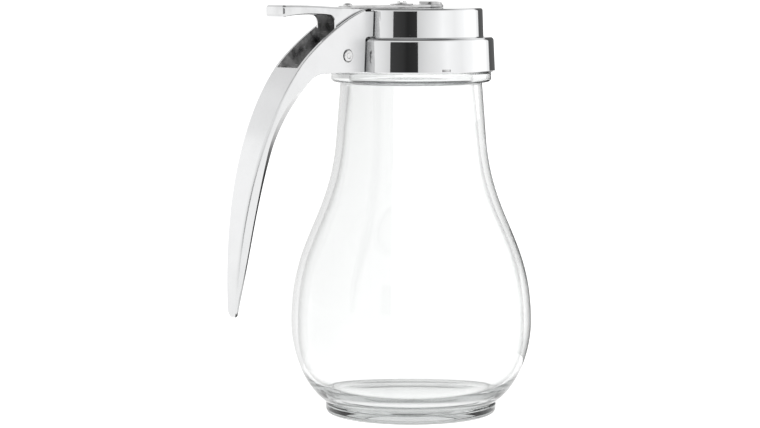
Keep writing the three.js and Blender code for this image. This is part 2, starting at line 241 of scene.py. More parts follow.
def turned_tree():
    """A tree that turns a profile, a row of points in the XZ plane, round the Z axis."""
    tree = bpy.data.node_groups.new("Turned piece", "GeometryNodeTree")
    sockets = tree.interface
    sockets.new_socket("Profile", in_out="INPUT", socket_type="NodeSocketGeometry")
    sockets.new_socket("Sides", in_out="INPUT", socket_type="NodeSocketInt")
    sockets.new_socket("Finish", in_out="INPUT", socket_type="NodeSocketMaterial")
    sockets.new_socket("Piece", in_out="OUTPUT", socket_type="NodeSocketGeometry")
    nodes, link = tree.nodes, tree.links.new

    def sum_of(operation, first, second):
        node = nodes.new("ShaderNodeMath")
        node.operation = operation
        for socket, value in zip(node.inputs, (first, second)):
            if isinstance(value, (int, float)):
                socket.default_value = value
            elif value is not None:
                link(value, socket)
        return node.outputs[0]

    given = nodes.new("NodeGroupInput").outputs
    size = nodes.new("GeometryNodeAttributeDomainSize")
    link(given["Profile"], size.inputs["Geometry"])
    rows = size.outputs["Point Count"]
    grid = nodes.new("GeometryNodeMeshGrid")
    link(sum_of("ADD", given["Sides"], 1), grid.inputs["Vertices X"])
    link(rows, grid.inputs["Vertices Y"])

    index = nodes.new("GeometryNodeInputIndex").outputs[0]
    column = sum_of("FLOOR", sum_of("DIVIDE", sum_of("ADD", index, 0.5), rows), None)
    row = sum_of("SUBTRACT", index, sum_of("MULTIPLY", column, rows))
    angle = sum_of("DIVIDE", sum_of("MULTIPLY", column, 2 * math.pi), given["Sides"])
    spot = nodes.new("GeometryNodeSampleIndex")
    spot.data_type = "FLOAT_VECTOR"
    link(given["Profile"], spot.inputs["Geometry"])
    link(nodes.new("GeometryNodeInputPosition").outputs[0], spot.inputs["Value"])
    link(row, spot.inputs["Index"])
    swung = nodes.new("ShaderNodeVectorRotate")
    swung.rotation_type = "Z_AXIS"
    link(spot.outputs["Value"], swung.inputs["Vector"])
    link(angle, swung.inputs["Angle"])

    placed = nodes.new("GeometryNodeSetPosition")
    welded = nodes.new("GeometryNodeMergeByDistance")
    smooth = nodes.new("GeometryNodeSetShadeSmooth")
    realized = nodes.new("GeometryNodeRealizeInstances")
    finished = nodes.new("GeometryNodeSetMaterial")
    chain = [placed, welded, smooth, realized, finished, nodes.new("NodeGroupOutput")]
    welded.inputs["Distance"].default_value = MM * MM
    link(grid.outputs["Mesh"], placed.inputs["Geometry"])
    link(swung.outputs[0], placed.inputs["Position"])
    for before, after in zip(chain, chain[1:]):
        link(before.outputs[0], after.inputs[0])
    link(given["Finish"], finished.inputs["Material"])
    return tree


def turned(name, profile, sides, finish, tree):
    """A profile from the axis, round the outside and back to the axis, turned into a closed body."""
    mesh = bpy.data.meshes.new(name)
    mesh.from_pydata([tuple(p) for p in profile], [(i, i + 1) for i in range(len(profile) - 1)], [])
    piece = bpy.data.objects.new(name, mesh)
    bpy.context.scene.collection.objects.link(piece)
    step = piece.modifiers.new("turned", "NODES")
    step.node_group = tree
    for item in tree.interface.items_tree:
        if item.in_out == "INPUT" and item.name == "Sides":
            step[item.identifier] = sides
        elif item.in_out == "INPUT" and item.name == "Finish":
            step[item.identifier] = finish
    return settle(piece)


def moved(piece, x):
    """Moves a piece's mesh along X, so that its object stays at the origin."""
    for vertex in piece.data.vertices:
        vertex.co += at(x, 0)
    return piece


# Finishes: scales are per metre, and a range is where an effect begins and ends

CLOUD_RANGE = (0.42, 0.68)
HAIR_RANGE = (0.58, 0.72)
HAIR_STRETCH = (0.12, 1.0, 1.0)
HAIR_SCALE = 2600.0
RIPPLE_SCALE = 140.0
# Depths of the ripple on plated, pressed and turned metal, in metres
PLATED = 0.000002
PRESSED = 0.000004
TURNED = 0.000006
# Heights and tones of the painted shade on the grip's inner edges, from the tip up the grip, and last that
# of the painted shadow in the cheeks' top gaps
PAINTED_SHADE_TONES = [
    (44.4, 0.03), (46, 0.5), (56, 0.4), (60, 0.12), (72, 0.05), (94, 0.04), (101, 0.12), (107, 0.4),
    (121, 0.75), (140, 0.02),
]
PAINTED_SHADE_ROUGH = (0.5, 0.6)
PAINTED_SHADE_CLOUD_SCALE = 120.0
PAINTED_SHADE_CLOUD = (0.8, 0.8, 0.8, 1)
GLASS_IOR = 1.5
GLASS_ROUGH = (0.0, 0.012)
GLASS_CLOUD_SCALE = 45.0
GLASS_HAIR_SCALE = 1500.0
GLASS_WAVE_SCALE = 38.0
GLASS_WAVE = 0.00012
GLASS_CLEAR = (0.99, 0.995, 0.993, 1)
GLASS_EDGE_SHADE_RANGE = (0.62, 0.92)
GLASS_DEPTH_COLOUR = (0.5, 0.52, 0.515, 1)
GLASS_DENSITY = 20.0
# Painted shade on the glass where its outside and its inside are seen edge on: how dark each turns
OUTSIDE_PAINTED_EDGE_SHADE = 0.14
INSIDE_PAINTED_EDGE_SHADE = 0.6


def grey(tone):
    """A colour without hue."""
    return (tone, tone, tone)


def add_node(tree, kind, links=None, **values):
    """A node with its sockets set or linked by name."""
    node = tree.nodes.new(kind)
    for name, value in values.items():
        setattr(node, name, value)
    for name, value in (links or {}).items():
        if isinstance(value, bpy.types.NodeSocket):
            tree.links.new(value, node.inputs[name])
        else:
            node.inputs[name].default_value = value
    return node


def marks_group():
    """Shared by every finish: soft cloudy handling marks and fine rubbed hairlines, each from 0 to 1."""
    tree = bpy.data.node_groups.new("Handling marks", "ShaderNodeTree")
    tree.interface.new_socket("Cloud scale", in_out="INPUT", socket_type="NodeSocketFloat")
    tree.interface.new_socket("Hairline scale", in_out="INPUT", socket_type="NodeSocketFloat")
    tree.interface.new_socket("Clouds", in_out="OUTPUT", socket_type="NodeSocketFloat")
    tree.interface.new_socket("Hairlines", in_out="OUTPUT", socket_type="NodeSocketFloat")
    given = tree.nodes.new("NodeGroupInput").outputs
    place = add_node(tree, "ShaderNodeTexCoord").outputs["Object"]
    drawn_out = add_node(tree, "ShaderNodeMapping", {"Vector": place, "Scale": HAIR_STRETCH}).outputs[0]
    out = tree.nodes.new("NodeGroupOutput")
    for mark, spot, scale, detail, (low, high) in (
        ("Clouds", place, given["Cloud scale"], 3.0, CLOUD_RANGE),
        ("Hairlines", drawn_out, given["Hairline scale"], 2.0, HAIR_RANGE),
    ):
        noise = add_node(tree, "ShaderNodeTexNoise", {"Vector": spot, "Scale": scale, "Detail": detail})
        shares = {"Value": noise.outputs["Fac"], "From Min": low, "From Max": high}
        share = add_node(tree, "ShaderNodeMapRange", shares)
        tree.links.new(share.outputs[0], out.inputs[mark])
    return tree


def new_finish(name):
    """A new material, its node tree and its shader."""
    finish = bpy.data.materials.new(name)
    finish.use_nodes = True
    tree = finish.node_tree
    shader = tree.nodes["Principled BSDF"]
    return finish, tree, shader


def add_marks(tree, marks, cloud_scale, hair_scale):
    """The shared handling marks, placed in a finish at its own scales."""
    scales = {"Cloud scale": cloud_scale, "Hairline scale": hair_scale}
    worn = add_node(tree, "ShaderNodeGroup", node_tree=marks)
    for name, scale in scales.items():
        worn.inputs[name].default_value = scale
    return worn.outputs


def add_mix(tree, share, first, second, blend="MIX"):
    """A colour that goes from one to another as a share grows."""
    mix = add_node(tree, "ShaderNodeMix", {"Factor": share}, data_type="RGBA", blend_type=blend)
    if isinstance(first, bpy.types.NodeSocket):
        tree.links.new(first, mix.inputs["A"])
    else:
        mix.inputs["A"].default_value = first
    mix.inputs["B"].default_value = second
    return mix.outputs["Result"]


def add_gloss(tree, shader, share, rough):
    """Roughness that goes from the first of a pair to the second as a share grows."""
    gloss = add_node(tree, "ShaderNodeMapRange", {"Value": share, "To Min": rough[0], "To Max": rough[1]})
    tree.links.new(gloss.outputs[0], shader.inputs["Roughness"])


def add_waves(tree, shader, scale, detail, depth):
    """Slow waves of a depth in metres, felt as bumps."""
    place = add_node(tree, "ShaderNodeTexCoord").outputs["Object"]
    wave = add_node(tree, "ShaderNodeTexNoise", {"Vector": place, "Scale": scale, "Detail": detail})
    bumps = {"Height": wave.outputs["Fac"], "Strength": 1.0, "Distance": depth}
    tree.links.new(add_node(tree, "ShaderNodeBump", bumps).outputs[0], shader.inputs["Normal"])


def metal(name, marks, bright, dull_and_painted_shade, rough, ripple=PLATED, cloud_scale=90.0, mirror=1.0):
    """A plated metal: its colour and gloss vary with handling, and the plating has a faint ripple. On the
    cast inner faces the colour's clouds are painted reflections and painted shade.
    """
    finish, tree, shader = new_finish(name)
    shader.inputs["Metallic"].default_value = mirror
    shader.inputs["Specular IOR Level"].default_value = mirror / 2
    worn = add_marks(tree, marks, cloud_scale, HAIR_SCALE)
    colour = add_mix(tree, worn["Clouds"], (*bright, 1), (*dull_and_painted_shade, 1))
    tree.links.new(colour, shader.inputs["Base Color"])
    either = {0: worn["Clouds"], 1: worn["Hairlines"]}
    both = add_node(tree, "ShaderNodeMath", either, operation="MAXIMUM").outputs[0]
    add_gloss(tree, shader, both, rough)
    add_waves(tree, shader, RIPPLE_SCALE, 1.0, ripple)
    return finish


def painted_grip_shade(name, marks, tones):
    """Painted shade and painted dark reflections along the grip's inner edges, at its tip and in the cheeks'
    top gaps: no gloss, clouded, and as dark at each height as the tones say.
    """
    finish, tree, shader = new_finish(name)
    shader.inputs["Specular IOR Level"].default_value = 0.0
    worn = add_marks(tree, marks, PAINTED_SHADE_CLOUD_SCALE, HAIR_SCALE)
    place = add_node(tree, "ShaderNodeTexCoord").outputs["Object"]
    height = add_node(tree, "ShaderNodeSeparateXYZ", {"Vector": place}).outputs["Z"]
    low = tones[0][0] * MM
    high = tones[-1][0] * MM
    share = add_node(tree, "ShaderNodeMapRange", {"Value": height, "From Min": low, "From Max": high})
    ramp = add_node(tree, "ShaderNodeValToRGB", {"Fac": share.outputs[0]})
    stops = ramp.color_ramp.elements
    while len(stops) < len(tones):
        stops.new(1.0)
    for stop, (z, tone) in zip(stops, tones):
        stop.position = (z * MM - low) / (high - low)
        stop.color = (*grey(tone), 1)
    colour = add_mix(tree, worn["Clouds"], ramp.outputs["Color"], PAINTED_SHADE_CLOUD, "MULTIPLY")
    tree.links.new(colour, shader.inputs["Base Color"])
    add_gloss(tree, shader, worn["Clouds"], PAINTED_SHADE_ROUGH)
    return finish


def clear_glass(name, marks, painted_edge_shade):
    """Pressed glass: clear, a little grey in depth, with painted shade at its edges where they are seen edge
    on, slow waves and faint marks.
    """
    finish, tree, shader = new_finish(name)
    shader.inputs["Transmission Weight"].default_value = 1.0
    shader.inputs["IOR"].default_value = GLASS_IOR
    worn = add_marks(tree, marks, GLASS_CLOUD_SCALE, GLASS_HAIR_SCALE)
    add_gloss(tree, shader, worn["Clouds"], GLASS_ROUGH)
    add_waves(tree, shader, GLASS_WAVE_SCALE, 0.5, GLASS_WAVE)
    # Painted shade: the colour darkens where the surface is seen edge on
    facing = add_node(tree, "ShaderNodeLayerWeight", {"Blend": 0.5}).outputs["Facing"]
    low, high = GLASS_EDGE_SHADE_RANGE
    edge = add_node(tree, "ShaderNodeMapRange", {"Value": facing, "From Min": low, "From Max": high})
    edge.interpolation_type = "SMOOTHSTEP"
    colour = add_mix(tree, edge.outputs[0], GLASS_CLEAR, (*grey(painted_edge_shade), 1))
    tree.links.new(colour, shader.inputs["Base Color"])
    depth = add_node(tree, "ShaderNodeVolumeAbsorption")
    depth.inputs["Color"].default_value = GLASS_DEPTH_COLOUR
    depth.inputs["Density"].default_value = GLASS_DENSITY
    tree.links.new(depth.outputs[0], tree.nodes["Material Output"].inputs["Volume"])
    return finish


# The glass jar

BELLY_R = JAR_HIGH.x
BELLY_Z = 34
RIM_Z = JAR_HIGH.z
FOOT_R = 31.8
FOOT_H = 3.5
FOOT_ROUND = 1.8
FOOT_TOP_ROUND = 0.8
WAIST = at(31.2, 4)
WAIST_PULL = at(41.6, 10.6)
BOWL_PULL_Z = 26
NECK_LOW_R = 27.65
NECK_LOW_Z = 104
SHOULDER_PULL = 32
SHOULDER_LEAN = 1.9
NECK = at(26.35, 121.2)
NECK_TOP_R = 26.25
NECK_ROUND = 0.5
BEAD_R = 29.6
BEAD_Z = 124.8
BEAD_HALF = 1.6
BEAD_ROUND = 1.4
BEAD_TOP_Z = 126.9
BEAD_TOP_ROUND = 0.6
RING_R = 26.2
RING_ROUND = 0.3
RIM_ROUND = 1
MOUTH_R = 23
MOUTH_ROUND = 6
WALL = 2.6
FLOOR_Z = 8
FLOOR_R = 27
BOWL_INSIDE_R = 37.5
BOWL_INSIDE_PULL = 14
PUSH_UP = 1.5
PUSH_UP_R = 27
PUSH_UP_PULL = 0.8
# The inside faces that look up more than this belong to the floor
FLOOR_FACING = 0.9


def jar_profile():
    """From the push-up under the foot, round the outside, over the rim and down to the floor's middle."""
    belly = at(BELLY_R, BELLY_Z)
    belly_in = at(BELLY_R - WALL, BELLY_Z)
    neck_low = at(NECK_LOW_R, NECK_LOW_Z)
    neck_in = at(NECK_LOW_R - WALL, NECK_LOW_Z)
    lean = at(SHOULDER_LEAN, -SHOULDER_PULL)
    rise = at(0, SHOULDER_PULL)
    centre = at(0, PUSH_UP)
    hollow_edge = at(PUSH_UP_R, 0)
    foot = eased(
        [
            (hollow_edge, 0),
            (at(FOOT_R, 0), FOOT_ROUND),
            (at(FOOT_R, FOOT_H), FOOT_TOP_ROUND),
            (WAIST, 0),
        ],
        closed=False,
    )
    bead = eased(
        [
            (NECK, 0),
            (at(NECK_TOP_R, BEAD_Z - BEAD_HALF), NECK_ROUND),
            (at(BEAD_R, BEAD_Z - BEAD_HALF), BEAD_ROUND),
            (at(BEAD_R, BEAD_TOP_Z), BEAD_TOP_ROUND),
            (at(RING_R, BEAD_TOP_Z), RING_ROUND),
            (at(RING_R, RIM_Z), RIM_ROUND),
            (at(MOUTH_R, RIM_Z), RIM_ROUND),
            (at(MOUTH_R, BEAD_Z), MOUTH_ROUND),
            (neck_in, 0),
        ],
        closed=False,
    )
    floor_edge = at(FLOOR_R, FLOOR_Z)
    bowl_in = belly_in - at(0, BOWL_INSIDE_PULL)
    return [
        centre,
        *curve(centre, at(PUSH_UP_R / 2, PUSH_UP), at(PUSH_UP_R * PUSH_UP_PULL, 0), hollow_edge),
        *foot[1:],
        *curve(WAIST, WAIST_PULL, at(BELLY_R, BOWL_PULL_Z), belly),
        *curve(belly, belly + rise, neck_low + lean, neck_low),
        *bead,
        *curve(neck_in, neck_in + lean, belly_in + rise, belly_in),
        *curve(belly_in, bowl_in, at(BOWL_INSIDE_R, FLOOR_Z), floor_edge),
        at(FLOOR_R / 2, FLOOR_Z),
        at(0, FLOOR_Z),
    ]


def make_jar(skin, lining, tree):
    """The jar, with its own finish on the faces that look inwards, whose painted edge shade is lighter."""
    jar = polished(turned("glass_jar", jar_profile(), JAR_SIDES, skin, tree))
    jar.data.materials.append(lining)
    for face in jar.data.polygons:
        outward = face.center.x * face.normal.x + face.center.y * face.normal.y
        on_floor = face.normal.z > FLOOR_FACING and face.center.z < RIM_Z * MM / 2
        if outward < 0 or on_floor:
            face.material_index = 1
    return jar


# The cap

BAND_R = CAP_HIGH.x
BAND_TOP_R = 30.4
BAND_Z = CAP_LOW.z
STEP_Z = 139.8
COLLAR_R = 26.7
COLLAR_TOP_R = 26.3
# Clearance under and over the shutter's plate
PLATE_GAP = 0.1
TOP_Z = SHUTTER_LOW.z - PLATE_GAP
CAP_WALL = 1.8
COLLAR_ROOT_ROUND = 0.3
INSIDE_ROUND = 0.6
INSIDE_EDGE = 0.3
BAND_ROUND = 0.6
STEP_ROUND = 1.4
TOP_ROUND = 1
NOTCH_ANGLE = -111.4
NOTCH = Vector((1.2, 3.4, 0.9))
NOTCH_LIFT = 1.15
POUR_X = 11.35
POUR_HALF = 2.85
POUR_ROUND = 0.3


def cap_skin(grow=0):
    """The cap's outside from the band's foot to the axis, with the radius of each corner."""
    return [
        (at(BAND_R + grow, BAND_Z), BAND_ROUND),
        (at(BAND_TOP_R + grow, STEP_Z + grow), STEP_ROUND),
        (at(COLLAR_R + grow, STEP_Z + grow), COLLAR_ROOT_ROUND),
        (at(COLLAR_TOP_R + grow, TOP_Z + grow), TOP_ROUND),
        (at(0, TOP_Z + grow), 0),
    ]


def slot_outline(x, half_x, half_y, radius):
    """A plan of a slot with rounded corners."""
    return eased([(plan(x + a * half_x, b * half_y), radius) for a, b in CORNERS])


def make_cap(finish, casting_with_painted_shade, tree):
    """The cap: a turned shell with the pour hole, the screw's hole and a small notch in its band."""
    under = TOP_Z - CAP_WALL
    inside = [
        (at(0, under), 0),
        (at(COLLAR_TOP_R - CAP_WALL, under), INSIDE_ROUND),
        (at(COLLAR_TOP_R - CAP_WALL, RIM_Z + SEAM), INSIDE_EDGE),
        (at(BAND_TOP_R - CAP_WALL, RIM_Z + SEAM), INSIDE_ROUND),
        (at(BAND_TOP_R - CAP_WALL, BAND_Z), INSIDE_EDGE),
    ]
    cap = turned("chrome_cap", eased(inside + cap_skin(), closed=False), CAP_SIDES, finish, tree)
    ends = (under - TOOL_REACH, TOP_Z + TOOL_REACH)
    pour = drawn_up("pour", slot_outline(POUR_X, POUR_HALF, POUR_HALF, POUR_ROUND), *ends)
    screw_way = turned("screw way", bar_profile(SCREW_R + SEAM, *ends), SMALL_SIDES, finish, tree)
    moved(screw_way, x=SCREW_X)
    notch_z = BAND_Z + NOTCH_LIFT
    notch = drawn_up("notch", notch_outline(), notch_z - NOTCH.z / 2, notch_z + NOTCH.z / 2)
    pour.data.materials.append(finish)
    # The notch's faces take the cast finish with painted shade, dark as a shadowed recess
    notch.data.materials.append(casting_with_painted_shade)
    return polished(cut(cap, pour, screw_way, notch))


def notch_outline():
    """A plan of the small notch in the band's foot."""
    angle = math.radians(NOTCH_ANGLE)
    out = Vector((math.cos(angle), math.sin(angle), 0))
    side = Vector((-out.y, out.x, 0))
    middle = out * BAND_R
    return [(middle + out * a * NOTCH.x / 2 + side * b * NOTCH.y / 2) * MM for a, b in CORNERS]


def bar_profile(radius, low, high):
    """A plain round bar."""
    return [at(0, low), at(radius, low), at(radius, high), at(0, high)]


# The handle

HANDLE_HALF = HANDLE_HIGH.y
TIP_Z = 43.2
HANDLE_START_X = -20
ARC_TIP = at(HANDLE_LOW.x, 46)
ARC_KNEE = at(-62, 130.6)
ARC_TOP = at(-27, TOP_Z)
GRIP_TOP = at(-61, 122)
GRIP_TIP = at(-87.65, 44.6)
KNEE_SLOPE = 46.5
TIP_SLOPE = 77.8
# How strongly each end pulls on the curves of the arc, of the grip's outside and of its inside
ARC_PULL = 8
ARC_KNEE_PULL = 10
OUTER_KNEE_PULL = 35
OUTER_TIP_PULL = 20
INNER_KNEE_PULL = 22.8
INNER_TIP_PULL = 44.3
# A curve whose pulls lie this far towards a corner rounds it off evenly
CORNER_PULL = 2 / 3
CHEEK_Z = 127.6
CHEEK_END_X = -51
CHEEK_WALL = 1.3
POCKET_Z = 130
POCKET_BACK_X = -95
POCKET_FRONT_X = -5
POCKET_OVER = 9
TAPER_Z = 111.3
TAPER_SOFT = 10
TIP_HALF = 2.65
TIP_TAPER_Z = 48
# Radii of the handle's edges: all of them at the cheeks, then the outer and the inner ones along the grip
CHEEK_EDGE = 0.4
GRIP_EDGE = 1.5
GRIP_ROUND = 3.4
JOINT_GAP = 0.6
# The most of a section's depth or half width that a radius takes, and the share of the grip where it grows
MOST_ROUND = 0.75
ROUND_GROWS = 1 / 3
TIP_STEPS = 8
PIN_WAY_HALF = 9
GAP_X = -30.2
GAP_DEEP = 1
# The inner edges with painted shade: their width on the grip's side, how far round they go, and their two
# ends
SHADE_WIDE = 0.8
MOST_SHADE = 0.7
SHADE_STEPS = 4
SHADE_TOP_Z = 121
SHADE_TIP_Z = 44.4


def handle_half(z):
    """Half the handle's width at a height: full at the cheeks, narrowing to the tip."""
    slope = (HANDLE_HALF - TIP_HALF) / (TAPER_Z - TIP_TAPER_Z)
    drop = TAPER_Z + TAPER_SOFT - z
    if drop <= 0:
        return HANDLE_HALF
    if drop <= 2 * TAPER_SOFT:
        return HANDLE_HALF - slope * drop ** 2 / (4 * TAPER_SOFT)
    if z >= TIP_TAPER_Z:
        return TIP_HALF + slope * (z - TIP_TAPER_Z)
    return TIP_HALF * math.sqrt(1 - ((TIP_TAPER_Z - z) / (TIP_TAPER_Z - TIP_Z)) ** 2)


def handle_ring(outer, inner, share):
    """One section of the handle: nearly flat outside, and rounder inside as the share grows."""
    most = MOST_ROUND * min((outer - inner).length / MM, handle_half(inner.z / MM))
    outer_edge = min(most / 2, CHEEK_EDGE + (GRIP_EDGE - CHEEK_EDGE) * share)
    inner_edge = min(most, CHEEK_EDGE + (GRIP_ROUND - CHEEK_EDGE) * share)
    outside = outer + Vector((0, handle_half(outer.z / MM) * MM, 0))
    inside = inner + Vector((0, handle_half(inner.z / MM) * MM, 0))
    wide = min(MOST_SHADE, (inner_edge + SHADE_WIDE) * MM / (outside - inside).length)
    near = [(outside, outer_edge), (inside.lerp(outside, wide), 0), (inside, inner_edge)]
    far = [(Vector((spot.x, -spot.y, spot.z)), edge) for spot, edge in near]
    return eased(far + near[::-1])


def handle_edges():
    """Pairs of points of the outer and inner edges, from the cap to the tip, with their roundness."""
    fillet_x = GRIP_TOP.x / MM + (CHEEK_Z - GRIP_TOP.z / MM) / math.tan(math.radians(KNEE_SLOPE))
    cheek_start = at(ARC_TOP.x / MM, CHEEK_Z)
    cheek_end = at(CHEEK_END_X, CHEEK_Z)
    fillet = at(fillet_x, CHEEK_Z)
    arc = curve(ARC_TOP, ARC_TOP - at(ARC_PULL, 0), along(ARC_KNEE, KNEE_SLOPE, ARC_KNEE_PULL), ARC_KNEE)
    flat_steps = CURVE_STEPS * 2 // 3
    flat = [cheek_start.lerp(cheek_end, (i + 1) / flat_steps) for i in range(flat_steps)]
    bend = curve(
        cheek_end,
        cheek_end.lerp(fillet, CORNER_PULL),
        GRIP_TOP.lerp(fillet, CORNER_PULL),
        GRIP_TOP,
        CURVE_STEPS - flat_steps,
    )
    outer_knee = along(ARC_KNEE, KNEE_SLOPE, -OUTER_KNEE_PULL)
    outer = curve(ARC_KNEE, outer_knee, ARC_TIP + at(0, OUTER_TIP_PULL), ARC_TIP)
    inner_knee = along(GRIP_TOP, KNEE_SLOPE, -INNER_KNEE_PULL)
    inner = curve(GRIP_TOP, inner_knee, along(GRIP_TIP, TIP_SLOPE, INNER_TIP_PULL), GRIP_TIP)
    tip_low = at(GRIP_TIP.x / MM, TIP_Z)
    nose = [GRIP_TIP, *curve(GRIP_TIP, tip_low, at(HANDLE_LOW.x, TIP_Z), ARC_TIP, 2 * TIP_STEPS)]
    pairs = [
        (at(HANDLE_START_X, TOP_Z), at(HANDLE_START_X, CHEEK_Z), 0),
        (ARC_TOP, cheek_start, 0),
    ]
    pairs += [(o, i, 0) for o, i in zip(arc, flat + bend)]
    for step, (o, i) in enumerate(zip(outer, inner), 1):
        pairs.append((o, i, min(1, step / (CURVE_STEPS * ROUND_GROWS))))
    for step in range(1, TIP_STEPS):
        pairs.append((nose[2 * TIP_STEPS - step], nose[step], 1))
    return pairs


def shade_edges(handle, pairs):
    """Gives the second finish, painted shade, to the grip's inner edges and to its tip."""
    # A ring has four rounded corners and a plain point on each side, and the handle's two ends come first
    corner = ROUND_STEPS + 1
    count = 4 * corner + 2
    edge = range(corner, corner + 1 + SHADE_STEPS)
    end = range(corner // 2, corner + 1 + SHADE_STEPS)
    for step, (_, inner, _) in enumerate(pairs[:-1]):
        z = inner.z / MM
        if z > SHADE_TOP_Z:
            continue
        for spot in end if z < SHADE_TIP_Z else edge:
            for place_round in (spot, count - 2 - spot):
                handle.data.polygons[2 + step * count + place_round].material_index = 1


def make_handle(finish, inside, dull_and_painted_shade, tree):
    """The handle: its outside, the pocket between its cheeks, the joint to the cap and the pin's holes."""
    pairs = handle_edges()
    handle = lofted("chrome_handle", [handle_ring(*pair) for pair in pairs])
    handle.data.materials.append(finish)
    # The second finish paints shade and dark reflections on the grip's inner edges and tip
    handle.data.materials.append(dull_and_painted_shade)
    shade_edges(handle, pairs)
    pocket_top = TOP_Z + POCKET_OVER
    pocket_side = [
        at(POCKET_BACK_X, POCKET_Z),
        at(POCKET_FRONT_X, POCKET_Z),
        at(POCKET_FRONT_X, pocket_top),
        at(POCKET_BACK_X, pocket_top),
    ]
    pocket = drawn_across("pocket", pocket_side, HANDLE_HALF - CHEEK_WALL)
    # The pocket's faces take the cast finish with painted shade and painted reflections
    pocket.data.materials.append(inside)
    foot = BAND_Z - TOOL_REACH
    room_profile = [at(0, foot), at(BAND_R + JOINT_GAP, foot), *eased(cap_skin(JOINT_GAP), closed=False)]
    room = turned("room", room_profile, CAP_SIDES, finish, tree)
    seat = HANDLE_HALF - PIN_SEAT
    pin_hole = bar_profile(PIN_R + SEAM, -PIN_WAY_HALF, PIN_WAY_HALF)
    # The pin's hole and the rings round its heads take the cast finish with painted shade, so the rings show
    # as dark gaps
    pin_way = turned("pin way", pin_hole, SMALL_SIDES, inside, tree)
    seats = [
        turned("pin seat", bar_profile(PIN_HEAD_R + SEAM, *ends), SMALL_SIDES, inside, tree)
        for ends in ((seat, HANDLE_HALF + PIN_SEAT), (-HANDLE_HALF - PIN_SEAT, -seat))
    ]
    # The cheeks' top gaps take the second finish, painted nearly black as a shadow
    gaps = [top_gap(side, dull_and_painted_shade) for side in (-1, 1)]
    holes = [laid_across(tool) for tool in (pin_way, *seats)]
    return polished(cut(handle, pocket, room, *gaps, *holes))


def top_gap(side, finish):
    """A tool for the gap at the top of a cheek, where it meets the collar; its faces take a finish with
    painted shadow.
    """
    near = side * (HANDLE_HALF - GAP_DEEP)
    far = side * (HANDLE_HALF + GAP_DEEP)
    front = GAP_DEEP - COLLAR_R
    outline = [plan(GAP_X, near), plan(front, near), plan(front, far), plan(GAP_X, far)]
    gap = drawn_up("top gap", outline, TOP_Z - GAP_DEEP, TOP_Z + GAP_DEEP)
    gap.data.materials.append(finish)
    return gap


def laid_across(piece):
    """Turns a piece made round +Z to lie along Y at the cross pin's place."""
    for vertex in piece.data.vertices:
        x, y, z = vertex.co
        vertex.co = Vector((x, z, -y)) + at(PIN_X, PIN_Z)
    return piece


# Fasteners

# Radii under a head, at its rim, on its lesser edges and at its crown
FASTENER_ROOT = 0.05
FASTENER_EDGE = 0.1
FASTENER_SOFT = 0.15
FASTENER_ROUND = 0.25
PIN_R = 1.5
PIN_HEAD_R = (PIN_HIGH.z - PIN_LOW.z) / 2
PIN_X = (PIN_LOW.x + PIN_HIGH.x) / 2
PIN_Z = (PIN_LOW.z + PIN_HIGH.z) / 2
PIN_END = PIN_HIGH.y
PIN_DISH = 0.25
PIN_LEAN = 0.15
PIN_RIM_SHARE = 0.75
PIN_DISH_SHARE = 0.55
PIN_SEAT = 0.5
PIN_GAP = 0.1
SCREW_X = (SCREW_LOW.x + SCREW_HIGH.x) / 2
SCREW_R = 1.3
FLANGE_R = (SCREW_HIGH.x - SCREW_LOW.x) / 2
FLANGE_H = 0.4
FLANGE_LEAN = 0.2
FLANGE_ROUND = 0.12
SCREW_HEAD_R = 1.8
SCREW_HEAD_H = 0.8
# The driver slot's half width as a share of the head's radius, and its turn in degrees
SLOT_SHARE = 0.25
SLOT_TURN = 45
RIVET_X = (RIVET_LOW.x + RIVET_HIGH.x) / 2
RIVET_R = 1
RIVET_HEAD_R = (RIVET_HIGH.x - RIVET_LOW.x) / 2
RIVET_HEAD_H = 0.9
DOME_PULL = 0.6
DOME_STEPS = 12
RIVET_WAY_HALF = 6


def make_cross_pin(finish, tree):
    """The pin across the cheeks: each end is a low head with a dished middle."""
    seat = HANDLE_HALF + PIN_GAP
    dish = PIN_END - PIN_DISH
    top = [
        (at(PIN_R, seat), FASTENER_ROOT),
        (at(PIN_HEAD_R, seat), FASTENER_EDGE),
        (at(PIN_HEAD_R - PIN_LEAN, PIN_END), FASTENER_ROUND),
        (at(PIN_R * PIN_RIM_SHARE, PIN_END), FASTENER_SOFT),
        (at(PIN_R * PIN_DISH_SHARE, dish), FASTENER_SOFT),
        (at(0, dish), 0),
    ]
    low = [(Vector((spot.x, 0, -spot.z)), radius) for spot, radius in reversed(top)]
    pin = turned("cross_pin_heads", eased(low + top, closed=False), SMALL_SIDES, finish, tree)
    return polished(laid_across(pin))


